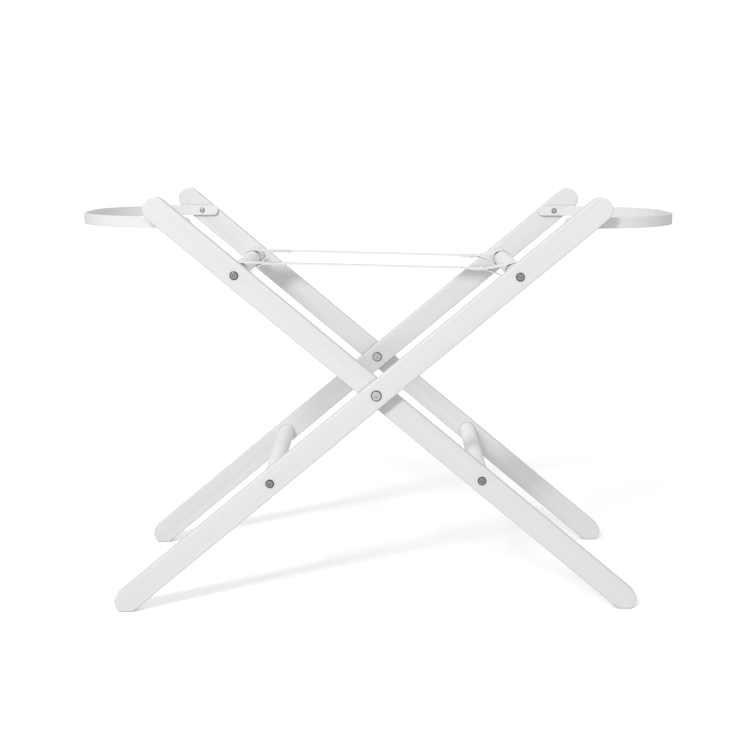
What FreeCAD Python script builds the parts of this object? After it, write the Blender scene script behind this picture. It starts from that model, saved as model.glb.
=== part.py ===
import FreeCAD, Part
import math
import os
import Sketcher
from FreeCAD import Placement, Rotation, Vector

# A folding cross-legged stand that carries a moses basket by its two end hoops and two cross straps.
# +Z is up, +X runs along the basket, +Y is the depth. The origin is on the floor, under the middle.
# Two four-piece wooden frames (two leg boards and two round bars each) cross at one pivot axis.
# The right frame has its upper ends at +X and its feet at -X, and the left frame is the other way round.
# The left frame sits one board behind the right frame, so the two frames have the same width.

os.makedirs("parts", exist_ok=True)
doc = FreeCAD.newDocument("basket_stand")

# ---------------------------------------------------------------- driving dimensions, in mm and degrees
DIMENSIONS = [
    ("leg_width", 35),                # a leg board, seen from the front
    ("leg_thickness", 18),
    ("top_length", 428),              # pivot axis to the rounded top end
    ("foot_length", 497),             # pivot axis to the rounded foot end, before the flat is cut
    ("open_angle", 40),               # each leg above the floor when the stand is open
    ("foot_flat", 18),                # length of the flat that stands on the floor
    ("edge_round", 2),                # rounding along the boards' face edges
    ("leg_gap", 350),                 # between the inner faces of one frame's two legs
    ("bar_diameter", 25),
    ("bar_chamfer", 1),
    ("upper_bar_reach", 265),         # pivot axis to the upper bar's axis
    ("lower_bar_reach", 201),         # pivot axis to the lower bar's axis
    ("pivot_washer_thickness", 1),
    ("pivot_washer_diameter", 22),
    ("sleeve_diameter", 9),           # the sleeve nut that both legs turn on
    ("sleeve_setback", 1.5),          # sleeve end to the bolt head's bearing face
    ("running_clearance", 0.07),      # on the radius, shaft in hole
    ("thread_clearance", 0.05),       # on the radius, between plain stand-ins for threads
    ("pivot_head_diameter", 15),
    ("pivot_head_height", 2.4),
    ("pivot_socket", 5),              # hexagon across its flats
    ("bar_bolt_head_diameter", 12),
    ("bar_bolt_head_height", 2.4),
    ("bar_bolt_socket", 4),
    ("shank_diameter", 6),            # pivot bolts and bar bolts
    ("bar_bolt_length", 40),
    ("bolt_hole_clearance", 0.2),     # on the radius, bolt shank in a leg
    ("insert_diameter", 10),
    ("insert_length", 15),
    ("bar_bore_depth", 26),
    ("socket_depth", 1.6),
    ("head_round", 1.6),
    ("hoop_pivot_reach", 381),        # pivot axis to the hoop's screws
    ("hoop_height", 16),
    ("hoop_thickness", 4),
    ("hoop_tail", 26),                # screw to the tip of the hoop's end, inboard
    ("hoop_straight", 8),             # screw to the start of the hoop's bends, outboard
    ("hoop_end_flat", 58),            # straight length across the hoop's far end, between its two bends
    ("hoop_edge_round", 0.8),
    ("hoop_end_land", 0.2),           # flat left between the two roundings of a hoop's end
    ("hoop_washer_thickness", 1.5),
    ("hoop_washer_diameter", 15),
    ("hoop_screw_diameter", 4),
    ("hoop_screw_head_diameter", 8),
    ("hoop_screw_head_height", 1.8),
    ("hoop_screw_socket", 2.5),
    ("hoop_screw_bite", 13),          # length of the screw inside the leg
    ("pilot_depth", 14),
    ("strap_width", 25),
    ("strap_thickness", 1.6),
    ("strap_inset", 50),              # strap's middle to the face of the nearest inner leg
    ("strap_clearance", 0.3),         # round the bars
    ("sewn_loop_reach", 34),          # bar axis to the point where the strap's two layers meet
    ("sewn_loop_rise", 11.8),         # that point above the bar axis, at the sewn end
    ("stud_loop_reach", 40),          # the same two at the studded end
    ("stud_loop_rise", 3.7),
    ("sewn_length", 30),              # double layer at the sewn end
    ("overlap_length", 26),           # double layer at the studded end
    ("stud_offset", 9),               # stud axis to where the layers part
    ("stud_diameter", 9),
    ("stud_cap_height", 1.8),
    ("stud_base_height", 1.5),
    ("stud_edge", 0.9),
    ("stud_post_diameter", 4),
    ("stud_hole_clearance", 0.2),
]

sheet = doc.addObject("Spreadsheet::Sheet", "Dims")
for row, (alias, value) in enumerate(DIMENSIONS, start=1):
    sheet.set(f"A{row}", alias)
    sheet.set(f"B{row}", str(value))
    sheet.setAlias(f"B{row}", alias)
doc.recompute()

# ---------------------------------------------------------------- lengths that follow from them
PIVOT_HEIGHT = (
    "((Dims.foot_length - Dims.leg_width / 2) * sin(Dims.open_angle)"
    " + sqrt((Dims.leg_width / 2) ^ 2 - (Dims.foot_flat / 2) ^ 2))"
)
FRAME_SHIFT = "((Dims.leg_thickness + Dims.pivot_washer_thickness) / 2)"
LEG_SHIFT = "((Dims.leg_gap + Dims.leg_thickness) / 2)"
HOOP_HALF_WIDTH = "(Dims.leg_gap / 2 - Dims.hoop_washer_thickness)"
PIVOT_STACK = "(2 * Dims.leg_thickness + Dims.pivot_washer_thickness)"
RIGHT, LEFT = 1, -1
FRONT, REAR = -1, 1


def value_of(expression):
    """The number that an expression on the sheet's cells gives."""
    return float(sheet.evalExpression(expression))


def along_leg(side, reach):
    """X and Z expressions of a point on a frame's leg line, reach from the pivot axis, upper half."""
    across = f"({side} * {reach} * cos(Dims.open_angle))"
    height = f"({PIVOT_HEIGHT} + {reach} * sin(Dims.open_angle))"
    return across, height


def frame_depth(side):
    """Y expression of the middle of a frame."""
    return f"({-side} * {FRAME_SHIFT})"


def leg_depth(side, row):
    """Y expression of the middle of a frame's front or rear leg."""
    return f"({frame_depth(side)} + {row} * {LEG_SHIFT})"


def place(item, across, depth, height, axis=Vector(0, 0, 1), angle="0"):
    """Bind where an object stands, and its turn about an axis through its own origin."""
    item.Placement = Placement(Vector(), Rotation(axis, 10))
    item.setExpression("Placement.Base.x", across)
    item.setExpression("Placement.Base.y", depth)
    item.setExpression("Placement.Base.z", height)
    item.setExpression("Placement.Rotation.Angle", angle)


# ---------------------------------------------------------------- sketch and feature helpers
parts = []


def new_body(label, keep=True):
    body = doc.addObject("PartDesign::Body", label)
    body.Label = label
    if keep:
        parts.append(body)
    return body


def sketch_on(body, role, offset=None):
    """A sketch on one of the body's own origin planes, moved along its normal by an expression."""
    plane = [item for item in body.Origin.OriginFeatures if item.Role == role][0]
    sketch = body.newObject("Sketcher::SketchObject", "Sketch")
    sketch.AttachmentSupport = [(plane, "")]
    sketch.MapMode = "FlatFace"
    if offset:
        sketch.setExpression("AttachmentOffset.Base.z", offset)
    return sketch


def pin_point(sketch, geometry, position, across, up):
    """Tie a sketch point to two expressions, or to an axis where the expression is 0."""
    for kind, axis, expression in (("DistanceX", -2, across), ("DistanceY", -1, up)):
        if expression == "0":
            sketch.addConstraint(Sketcher.Constraint("PointOnObject", geometry, position, axis))
            continue
        start = value_of(expression)
        index = sketch.addConstraint(Sketcher.Constraint(kind, -1, 1, geometry, position, start))
        sketch.setExpression(f"Constraints[{index}]", expression)


def add_circle(sketch, across, up, radius):
    centre = Vector(value_of(across), value_of(up), 0)
    index = sketch.addGeometry(Part.Circle(centre, Vector(0, 0, 1), value_of(radius)))
    pin_point(sketch, index, 3, across, up)
    size = sketch.addConstraint(Sketcher.Constraint("Radius", index, value_of(radius)))
    sketch.setExpression(f"Constraints[{size}]", radius)


def add_outline(sketch, corners, bends=None):
    """A closed outline through corners, each tied to its expressions.

    bends says which sides are arcs: side number to (centre's two expressions, +1 anticlockwise or -1).
    The corners fix an arc's ends, so only its centre's X is tied, and its other coordinate follows."""
    bends = bends or {}
    points = [Vector(value_of(across), value_of(up), 0) for across, up in corners]
    ends = []
    for side, start in enumerate(points):
        stop = points[(side + 1) % len(points)]
        if side not in bends:
            index = sketch.addGeometry(Part.LineSegment(start, stop))
            ends.append((index, 1, 2))
            continue
        centre_across, centre_up, turn = bends[side]
        centre = Vector(value_of(centre_across), value_of(centre_up), 0)
        first, last = (start, stop) if turn > 0 else (stop, start)
        first_angle = math.atan2(first.y - centre.y, first.x - centre.x)
        last_angle = math.atan2(last.y - centre.y, last.x - centre.x)
        circle = Part.Circle(centre, Vector(0, 0, 1), (start - centre).Length)
        index = sketch.addGeometry(Part.ArcOfCircle(circle, first_angle, last_angle))
        ends.append((index, 1, 2) if turn > 0 else (index, 2, 1))
        hold = sketch.addConstraint(Sketcher.Constraint("DistanceX", -1, 1, index, 3, centre.x))
        sketch.setExpression(f"Constraints[{hold}]", centre_across)
    for side, (index, start_at, stop_at) in enumerate(ends):
        following, following_start, _ = ends[(side + 1) % len(ends)]
        sketch.addConstraint(Sketcher.Constraint("Coincident", index, stop_at, following, following_start))
        pin_point(sketch, index, start_at, *corners[side])


def extrude(body, sketch, length, cut=False, symmetric=True, reverse=False):
    """Pad or pocket a sketch. A pocket must take material away, so its volume is compared."""
    doc.recompute()
    before = body.Shape.Volume if cut else 0
    feature = body.newObject("PartDesign::Pocket" if cut else "PartDesign::Pad", "Extrude")
    feature.Profile = sketch
    feature.SideType = "Symmetric" if symmetric else "One side"
    feature.setExpression("Length", length)
    feature.Reversed = reverse
    body.Tip = feature
    doc.recompute()
    if cut and not body.Shape.Volume < before - 1:
        raise RuntimeError(f"{body.Label}: a pocket cuts nothing")
    return feature


def round_edges(body, wanted, radius):
    """Fillet the edges of the body's present shape that a test picks out."""
    base = body.Tip
    names = [f"Edge{number}" for number, edge in enumerate(base.Shape.Edges, start=1) if wanted(edge)]
    if not names:
        raise RuntimeError(f"{body.Label}: no edge to round")
    fillet = body.newObject("PartDesign::Fillet", "Fillet")
    fillet.Base = (base, names)
    fillet.setExpression("Radius", radius)
    body.Tip = fillet
    doc.recompute()
    return fillet


def turned(label, profile, keep=True):
    """A turned piece from half its section: radius and height expressions, turned about Z."""
    body = new_body(label, keep)
    sketch = sketch_on(body, "XZ_Plane")
    add_outline(sketch, profile)
    doc.recompute()
    turn = body.newObject("PartDesign::Revolution", "Turn")
    turn.Profile = sketch
    turn.ReferenceAxis = (sketch, ["V_Axis"])
    turn.Angle = 360
    body.Tip = turn
    doc.recompute()
    return body


# A turned piece's own +Z is laid along Y: towards the front (-Y) or the rear (+Y).
TO_FRONT = Vector(1, 0, 0)
TO_REAR = Vector(-1, 0, 0)
QUARTER_TURN = "90"


def copies(label, source, places):
    """Identical fasteners in one node: links to one body, each at its own place, in one compound."""
    links = []
    for number, (across, depth, height, axis) in enumerate(places, start=1):
        link = doc.addObject("App::Link", f"{label}_{number}")
        link.LinkedObject = source
        place(link, across, depth, height, axis, QUARTER_TURN)
        links.append(link)
    group = doc.addObject("Part::Compound", label)
    group.Label = label
    group.Links = links
    parts.append(group)
    return group


# ---------------------------------------------------------------- leg boards
def leg(label, side, row):
    """A leg board with round ends, a flat on its foot and the holes for its bolts and its hoop screw.

    It is drawn lying along X with the pivot axis at its origin, and turned up to the open angle."""
    body = new_body(label)
    radius = "(Dims.leg_width / 2)"
    right_reach = "Dims.top_length" if side == RIGHT else "Dims.foot_length"
    left_reach = "Dims.foot_length" if side == RIGHT else "Dims.top_length"
    right_end = f"({right_reach} - {radius})"
    left_end = f"(-({left_reach} - {radius}))"
    outline = sketch_on(body, "XZ_Plane")
    corners = [(left_end, f"-{radius}"), (right_end, f"-{radius}"), (right_end, radius), (left_end, radius)]
    add_outline(outline, corners, {1: (right_end, "0", 1), 3: (left_end, "0", 1)})
    extrude(body, outline, "Dims.leg_thickness")

    # The foot is cut along the floor: down and along are the floor's directions in the board's own plane.
    foot_x = f"({-side} * (Dims.foot_length - {radius}))"
    floor_gap = f"sqrt({radius} ^ 2 - (Dims.foot_flat / 2) ^ 2)"
    down = (f"({-side} * sin(Dims.open_angle))", "(-cos(Dims.open_angle))")
    along = ("cos(Dims.open_angle)", f"({-side} * sin(Dims.open_angle))")
    floor_corners = []
    for drop, run in ((floor_gap, -1), (f"(2 * {radius})", -1), (f"(2 * {radius})", 1), (floor_gap, 1)):
        across = f"{foot_x} + {down[0]} * {drop} + {run} * {radius} * {along[0]}"
        up = f"{down[1]} * {drop} + {run} * {radius} * {along[1]}"
        floor_corners.append((across, up))
    floor = sketch_on(body, "XZ_Plane")
    add_outline(floor, floor_corners)
    extrude(body, floor, "2 * Dims.leg_thickness", cut=True)

    half = value_of("Dims.leg_thickness / 2")
    round_edges(body, lambda edge: all(abs(abs(v.Y) - half) < 0.01 for v in edge.Vertexes)
                and edge.BoundBox.YLength < 0.01, "Dims.edge_round")

    holes = sketch_on(body, "XZ_Plane")
    bolt_hole = "Dims.shank_diameter / 2 + Dims.bolt_hole_clearance"
    add_circle(holes, "0", "0", "Dims.sleeve_diameter / 2 + Dims.running_clearance")
    add_circle(holes, f"{side} * Dims.upper_bar_reach", "0", bolt_hole)
    add_circle(holes, f"{-side} * Dims.lower_bar_reach", "0", bolt_hole)
    extrude(body, holes, "2 * Dims.leg_thickness", cut=True)

    # The hoop screw bites from the inner face only. The sketch plane's normal points to -Y.
    pilot = sketch_on(body, "XZ_Plane", f"{row} * Dims.leg_thickness / 2")
    add_circle(pilot, f"{side} * Dims.hoop_pivot_reach", "0", "Dims.hoop_screw_diameter / 2")
    extrude(body, pilot, "Dims.pilot_depth", cut=True, symmetric=False, reverse=row == FRONT)
    place(body, "0", leg_depth(side, row), PIVOT_HEIGHT, Vector(0, -side, 0), "Dims.open_angle")
    return body


leg("right_frame_front_leg", RIGHT, FRONT)
leg("right_frame_rear_leg", RIGHT, REAR)
leg("left_frame_front_leg", LEFT, FRONT)
leg("left_frame_rear_leg", LEFT, REAR)


# ---------------------------------------------------------------- round bars
def bar(label, side, reach):
    """A round bar between a frame's two legs, bored at both ends for a threaded insert."""
    radius = "(Dims.bar_diameter / 2)"
    end = "(Dims.leg_gap / 2)"
    bore = "(Dims.insert_diameter / 2)"
    profile = [
        ("0", f"-({end} - Dims.bar_bore_depth)"),
        (bore, f"-({end} - Dims.bar_bore_depth)"),
        (bore, f"-{end}"),
        (f"{radius} - Dims.bar_chamfer", f"-{end}"),
        (radius, f"-({end} - Dims.bar_chamfer)"),
        (radius, f"{end} - Dims.bar_chamfer"),
        (f"{radius} - Dims.bar_chamfer", end),
        (bore, end),
        (bore, f"{end} - Dims.bar_bore_depth"),
        ("0", f"{end} - Dims.bar_bore_depth"),
    ]
    body = turned(label, profile)
    across, height = along_leg(side, reach)
    place(body, across, frame_depth(side), height, TO_FRONT, QUARTER_TURN)
    return body


UPPER_BAR = "Dims.upper_bar_reach"
LOWER_BAR = "(-Dims.lower_bar_reach)"
bar("right_frame_upper_bar", RIGHT, UPPER_BAR)
bar("right_frame_lower_bar", RIGHT, LOWER_BAR)
bar("left_frame_upper_bar", LEFT, UPPER_BAR)
bar("left_frame_lower_bar", LEFT, LOWER_BAR)


# ---------------------------------------------------------------- bolts, inserts, nuts and washers
def cut_socket(body, flats, top, tag):
    """A hexagon socket in a head's top face, corner to corner along X."""
    corner = f"({flats} / (2 * cos(30)))"
    corners = []
    for step in range(6):
        angle = 60 * step
        across = f"{corner} * cos({angle})"
        up = "0" if step in (0, 3) else f"{corner} * sin({angle})"
        corners.append((across, up))
    sketch = sketch_on(body, "XY_Plane", top)
    sketch.Label = tag
    add_outline(sketch, corners)
    extrude(body, sketch, "Dims.socket_depth", cut=True, symmetric=False)


def headed(label, head_diameter, head_height, shank_diameter, length, flats, keep=True):
    """A bolt or screw along Z: its head's bearing face is at 0, its shank goes down."""
    shank = f"{shank_diameter} / 2"
    head = f"{head_diameter} / 2"
    profile = [
        ("0", f"-({length})"),
        (shank, f"-({length})"),
        (shank, "0"),
        (head, "0"),
        (head, head_height),
        ("0", head_height),
    ]
    body = turned(label, profile, keep)
    rim = value_of(head)
    top = value_of(head_height)
    round_edges(body, lambda edge: edge.BoundBox.XLength > 2 * rim - 0.01
                and abs(edge.BoundBox.ZMin - top) < 0.01, "Dims.head_round")
    cut_socket(body, flats, head_height, f"{label}_socket")
    return body


def pivot_hardware(name, row):
    """Bolt, washer and sleeve nut at the front or rear crossing. The right frame's leg is nearer the front."""
    right_leg = leg_depth(RIGHT, row)
    front_face = f"({right_leg} - Dims.leg_thickness / 2)"
    rear_face = f"({front_face} + {PIVOT_STACK})"
    bolt = headed(f"{name}_pivot_bolt", "Dims.pivot_head_diameter", "Dims.pivot_head_height",
                  "Dims.shank_diameter", f"{PIVOT_STACK} - 2 * Dims.sleeve_setback", "Dims.pivot_socket")
    place(bolt, "0", front_face, PIVOT_HEIGHT, TO_FRONT, QUARTER_TURN)

    sleeve = "(Dims.sleeve_diameter / 2)"
    bore = "(Dims.shank_diameter / 2 + Dims.thread_clearance)"
    flange = "(Dims.pivot_head_diameter / 2)"
    profile = [
        (bore, f"-({PIVOT_STACK} - Dims.sleeve_setback)"),
        (sleeve, f"-({PIVOT_STACK} - Dims.sleeve_setback)"),
        (sleeve, "0"),
        (flange, "0"),
        (flange, "Dims.pivot_head_height"),
        (bore, "Dims.pivot_head_height"),
    ]
    nut = turned(f"{name}_pivot_sleeve_nut", profile)
    rim = value_of(flange)
    top = value_of("Dims.pivot_head_height")
    round_edges(nut, lambda edge: edge.BoundBox.XLength > 2 * rim - 0.01
                and abs(edge.BoundBox.ZMin - top) < 0.01, "Dims.head_round")
    place(nut, "0", rear_face, PIVOT_HEIGHT, TO_REAR, QUARTER_TURN)

    washer = ring(f"{name}_pivot_washer", f"{sleeve} + Dims.running_clearance",
                  "Dims.pivot_washer_diameter / 2", "Dims.pivot_washer_thickness")
    place(washer, "0", f"{right_leg} + Dims.leg_thickness / 2", PIVOT_HEIGHT, TO_REAR, QUARTER_TURN)


def ring(label, bore, outside, length, keep=True):
    """A plain ring from 0 up to its length."""
    return turned(label, [(bore, "0"), (outside, "0"), (outside, length), (bore, length)], keep)


pivot_hardware("front", FRONT)
pivot_hardware("rear", REAR)

bar_bolt = headed("bar_bolt", "Dims.bar_bolt_head_diameter", "Dims.bar_bolt_head_height",
                  "Dims.shank_diameter", "Dims.bar_bolt_length", "Dims.bar_bolt_socket", keep=False)
bar_insert = ring("bar_insert", "Dims.shank_diameter / 2 + Dims.thread_clearance",
                  "Dims.insert_diameter / 2", "Dims.insert_length", keep=False)
hoop_screw = headed("hoop_screw", "Dims.hoop_screw_head_diameter", "Dims.hoop_screw_head_height",
                    "Dims.hoop_screw_diameter",
                    "Dims.hoop_thickness + Dims.hoop_washer_thickness + Dims.hoop_screw_bite",
                    "Dims.hoop_screw_socket", keep=False)
hoop_washer = ring("hoop_washer", "Dims.hoop_screw_diameter / 2 + Dims.running_clearance",
                   "Dims.hoop_washer_diameter / 2",
                   "Dims.hoop_washer_thickness - Dims.running_clearance", keep=False)


def frame_fasteners(name, side):
    """A frame's bolts and inserts at both bars' ends, and the screws and washers of its hoop."""
    bolts, inserts = [], []
    for reach in (UPPER_BAR, LOWER_BAR):
        across, height = along_leg(side, reach)
        for row in (FRONT, REAR):
            outward = TO_FRONT if row == FRONT else TO_REAR
            inward = TO_REAR if row == FRONT else TO_FRONT
            outer_face = f"{leg_depth(side, row)} + {row} * Dims.leg_thickness / 2"
            bar_end = f"{frame_depth(side)} + {row} * Dims.leg_gap / 2"
            bolts.append((across, outer_face, height, outward))
            inserts.append((across, bar_end, height, inward))
    copies(f"{name}_frame_bar_bolts", bar_bolt, bolts)
    copies(f"{name}_frame_bar_inserts", bar_insert, inserts)

    screws, washers = [], []
    across, height = along_leg(side, "Dims.hoop_pivot_reach")
    for row in (FRONT, REAR):
        inward = TO_REAR if row == FRONT else TO_FRONT
        leg_face = f"{frame_depth(side)} + {row} * Dims.leg_gap / 2"
        hoop_face = f"{frame_depth(side)} + {row} * ({HOOP_HALF_WIDTH} - Dims.hoop_thickness)"
        screws.append((across, hoop_face, height, inward))
        washers.append((across, leg_face, height, inward))
    copies(f"{name}_hoop_screws", hoop_screw, screws)
    copies(f"{name}_hoop_washers", hoop_washer, washers)


frame_fasteners("right", RIGHT)
frame_fasteners("left", LEFT)


# ---------------------------------------------------------------- hoops
def hoop(label, side):
    """A flat strip bent to a U that swings on two screws. Its own origin is midway between the screws."""
    body = new_body(label)
    outside = HOOP_HALF_WIDTH
    inside = f"({HOOP_HALF_WIDTH} - Dims.hoop_thickness)"
    tip = f"({-side} * Dims.hoop_tail)"
    bend = f"({side} * Dims.hoop_straight)"
    far = "(Dims.hoop_end_flat / 2)"
    far_outside = f"({bend} + {side} * ({outside} - {far}))"
    far_inside = f"({bend} + {side} * ({inside} - {far}))"
    corners = [
        (tip, f"-{outside}"),
        (bend, f"-{outside}"),
        (far_outside, f"-{far}"),
        (far_outside, far),
        (bend, outside),
        (tip, outside),
        (tip, inside),
        (bend, inside),
        (far_inside, far),
        (far_inside, f"-{far}"),
        (bend, f"-{inside}"),
        (tip, f"-{inside}"),
    ]
    bends = {
        1: (bend, f"-{far}", side),
        3: (bend, far, side),
        7: (bend, far, -side),
        9: (bend, f"-{far}", -side),
    }
    outline = sketch_on(body, "XY_Plane")
    add_outline(outline, corners, bends)
    extrude(body, outline, "Dims.hoop_height")

    tip_x = value_of(tip)
    round_edges(body, lambda edge: abs(edge.BoundBox.XMin - tip_x) < 0.01 and edge.BoundBox.XLength < 0.01
                and edge.BoundBox.ZLength < 0.01, "Dims.hoop_height / 2 - Dims.hoop_end_land")
    thickness = value_of("Dims.hoop_thickness")
    round_edges(body, lambda edge: edge.BoundBox.XLength > 0.01 or edge.BoundBox.YLength < thickness / 2,
                "Dims.hoop_edge_round")

    screw_holes = sketch_on(body, "XZ_Plane")
    add_circle(screw_holes, "0", "0", "Dims.hoop_screw_diameter / 2 + Dims.running_clearance")
    extrude(body, screw_holes, "2 * Dims.leg_gap", cut=True)
    across, height = along_leg(side, "Dims.hoop_pivot_reach")
    place(body, across, frame_depth(side), height)
    return body


hoop("right_hoop", RIGHT)
hoop("left_hoop", LEFT)


# ---------------------------------------------------------------- straps and their studs
# Strap points are measured from the pivot axis: X across the stand and Z above the axis.
BAR_X = "(Dims.upper_bar_reach * cos(Dims.open_angle))"
BAR_Z = "(Dims.upper_bar_reach * sin(Dims.open_angle))"
SEWN_X = f"(Dims.sewn_loop_reach - {BAR_X})"
SEWN_Z = f"({BAR_Z} + Dims.sewn_loop_rise)"
STUD_X = f"({BAR_X} - Dims.stud_loop_reach)"
STUD_Z = f"({BAR_Z} + Dims.stud_loop_rise)"
STRAP_SLOPE = f"(({STUD_Z} - {SEWN_Z}) / ({STUD_X} - {SEWN_X}))"
LOOP_INSIDE = "(Dims.bar_diameter / 2 + Dims.strap_clearance)"
LOOP_OUTSIDE = f"({LOOP_INSIDE} + Dims.strap_thickness)"


def strap_line(across):
    """Height expression of the plane between the strap's two layers."""
    return f"({SEWN_Z} + ({across} - {SEWN_X}) * {STRAP_SLOPE})"


def add_teardrop(sketch, centre, radius, apex):
    """An arc round a bar and the two lines from its ends to a point."""
    middle = Vector(value_of(centre[0]), value_of(centre[1]), 0)
    point = Vector(value_of(apex[0]), value_of(apex[1]), 0)
    size = value_of(radius)
    away = point - middle
    heading = math.atan2(away.y, away.x)
    spread = math.acos(size / away.Length)
    upper_angle = heading + spread
    lower_angle = heading - spread + 2 * math.pi
    upper = middle + Vector(math.cos(upper_angle), math.sin(upper_angle), 0) * size
    lower = middle + Vector(math.cos(lower_angle), math.sin(lower_angle), 0) * size
    circle = Part.Circle(middle, Vector(0, 0, 1), size)
    arc = sketch.addGeometry(Part.ArcOfCircle(circle, upper_angle, lower_angle))
    upper_line = sketch.addGeometry(Part.LineSegment(point, upper))
    lower_line = sketch.addGeometry(Part.LineSegment(lower, point))
    pin_point(sketch, arc, 3, *centre)
    hold = sketch.addConstraint(Sketcher.Constraint("Radius", arc, size))
    sketch.setExpression(f"Constraints[{hold}]", radius)
    sketch.addConstraint(Sketcher.Constraint("Tangent", upper_line, 2, arc, 1))
    sketch.addConstraint(Sketcher.Constraint("Tangent", arc, 2, lower_line, 1))
    sketch.addConstraint(Sketcher.Constraint("Coincident", lower_line, 2, upper_line, 1))
    pin_point(sketch, upper_line, 1, *apex)


def strap(label, row):
    """A web strap: a sewn loop round the left bar, a studded loop round the right bar, one layer between."""
    body = new_body(label)
    loops = [((f"(-{BAR_X})", BAR_Z), (SEWN_X, SEWN_Z)), ((BAR_X, BAR_Z), (STUD_X, STUD_Z))]
    thick = "Dims.strap_thickness"
    sewn_end = f"({SEWN_X} + Dims.sewn_length)"
    overlap_end = f"({STUD_X} - Dims.overlap_length)"
    web = sketch_on(body, "XZ_Plane")
    add_outline(web, [
        (SEWN_X, f"{SEWN_Z} - {thick}"),
        (sewn_end, f"{strap_line(sewn_end)} - {thick}"),
        (sewn_end, strap_line(sewn_end)),
        (overlap_end, strap_line(overlap_end)),
        (overlap_end, f"{strap_line(overlap_end)} - {thick}"),
        (STUD_X, f"{STUD_Z} - {thick}"),
        (STUD_X, f"{STUD_Z} + {thick}"),
        (SEWN_X, f"{SEWN_Z} + {thick}"),
    ])
    extrude(body, web, "Dims.strap_width")
    for centre, apex in loops:
        # The outer loop's point lies further out in the ratio of the radii, so the wall is even.
        stretch = f"({LOOP_OUTSIDE} / {LOOP_INSIDE})"
        outer_apex = tuple(f"{c} + ({a} - {c}) * {stretch}" for c, a in zip(centre, apex))
        outer = sketch_on(body, "XZ_Plane")
        add_teardrop(outer, centre, LOOP_OUTSIDE, outer_apex)
        extrude(body, outer, "Dims.strap_width")
    for centre, apex in loops:
        inner = sketch_on(body, "XZ_Plane")
        add_teardrop(inner, centre, LOOP_INSIDE, apex)
        extrude(body, inner, "2 * Dims.strap_width", cut=True)
    stud_hole = sketch_on(body, "XY_Plane", STUD_Z)
    add_circle(stud_hole, f"{STUD_X} - Dims.stud_offset", "0",
               "Dims.stud_post_diameter / 2 + Dims.stud_hole_clearance")
    extrude(body, stud_hole, "Dims.upper_bar_reach / 4", cut=True)
    place(body, "0", strap_depth(row), PIVOT_HEIGHT)
    return body


def strap_depth(row):
    """Y expression of a strap's middle: inset from the inner legs' inner faces, alike front and rear."""
    return f"({row} * (Dims.leg_gap / 2 - {FRAME_SHIFT} - Dims.strap_inset))"


def stud(name, row):
    """A press stud through both layers: a cap with its post on top, and a base below."""
    outside = "(Dims.stud_diameter / 2)"
    post = "(Dims.stud_post_diameter / 2)"
    layer = "Dims.strap_thickness"
    cap = turned(f"{name}_strap_stud_cap", [
        ("0", f"-{layer}"),
        (post, f"-{layer}"),
        (post, layer),
        (outside, layer),
        (outside, f"{layer} + Dims.stud_cap_height - Dims.stud_edge"),
        (f"{outside} - Dims.stud_edge", f"{layer} + Dims.stud_cap_height"),
        ("0", f"{layer} + Dims.stud_cap_height"),
    ])
    base = turned(f"{name}_strap_stud_base", [
        ("0", f"-({layer} + Dims.stud_base_height)"),
        (f"{outside} - Dims.stud_edge", f"-({layer} + Dims.stud_base_height)"),
        (outside, f"-({layer} + Dims.stud_base_height - Dims.stud_edge)"),
        (outside, f"-{layer}"),
        ("0", f"-{layer}"),
    ])
    across = f"({STUD_X} - Dims.stud_offset)"
    for piece in (cap, base):
        height = f"{PIVOT_HEIGHT} + {strap_line(across)}"
        place(piece, across, strap_depth(row), height, Vector(0, 1, 0), f"-atan({STRAP_SLOPE})")


for strap_name, strap_row in (("front", FRONT), ("rear", REAR)):
    strap(f"{strap_name}_strap", strap_row)
    stud(strap_name, strap_row)


# ---------------------------------------------------------------- checks and export
doc.recompute()
failed = [item.Name for item in doc.Objects if "Invalid" in item.State or "Error" in item.State]
if failed:
    raise RuntimeError(f"features that failed: {failed}")
for piece in parts:
    if piece.Shape.isNull() or not piece.Shape.isValid():
        raise RuntimeError(f"{piece.Label} has no valid shape")

for old in os.listdir("parts"):
    os.remove(os.path.join("parts", old))
whole = FreeCAD.BoundBox()
for piece in parts:
    shape = piece.Shape
    shape.exportStep(f"parts/{piece.Label}.step")
    box = shape.optimalBoundingBox(False)
    whole.add(box)
    print(f"{piece.Label:28s} solids {len(shape.Solids)} volume {shape.Volume / 1000:8.2f} cm3 "
          f"x {box.XMin:7.1f} {box.XMax:7.1f} y {box.YMin:7.1f} {box.YMax:7.1f} z {box.ZMin:6.1f} {box.ZMax:6.1f}")
print(f"{len(parts)} nodes, {whole.XLength:.1f} x {whole.YLength:.1f} x {whole.ZLength:.1f} mm,"
      f" centre {whole.Center.x:.2f} {whole.Center.y:.2f}, lowest {whole.ZMin:.3f}")
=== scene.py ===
# %% [markdown]
# # A folding stand for a moses basket
# The stand is two crossed frames of white painted boards that turn on two pivot bolts. Four round bars
# hold the frames apart, a bent plastic hoop swings on the top of each frame, and two cotton web straps
# keep the frames from spreading. The accurate wooden, steel and plastic pieces come from the packed
# model. This lesson adds what makes them look real: the light, the paint, the steel, and the straps.

import math

import bmesh
import bpy
from mathutils import Matrix, Vector


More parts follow.
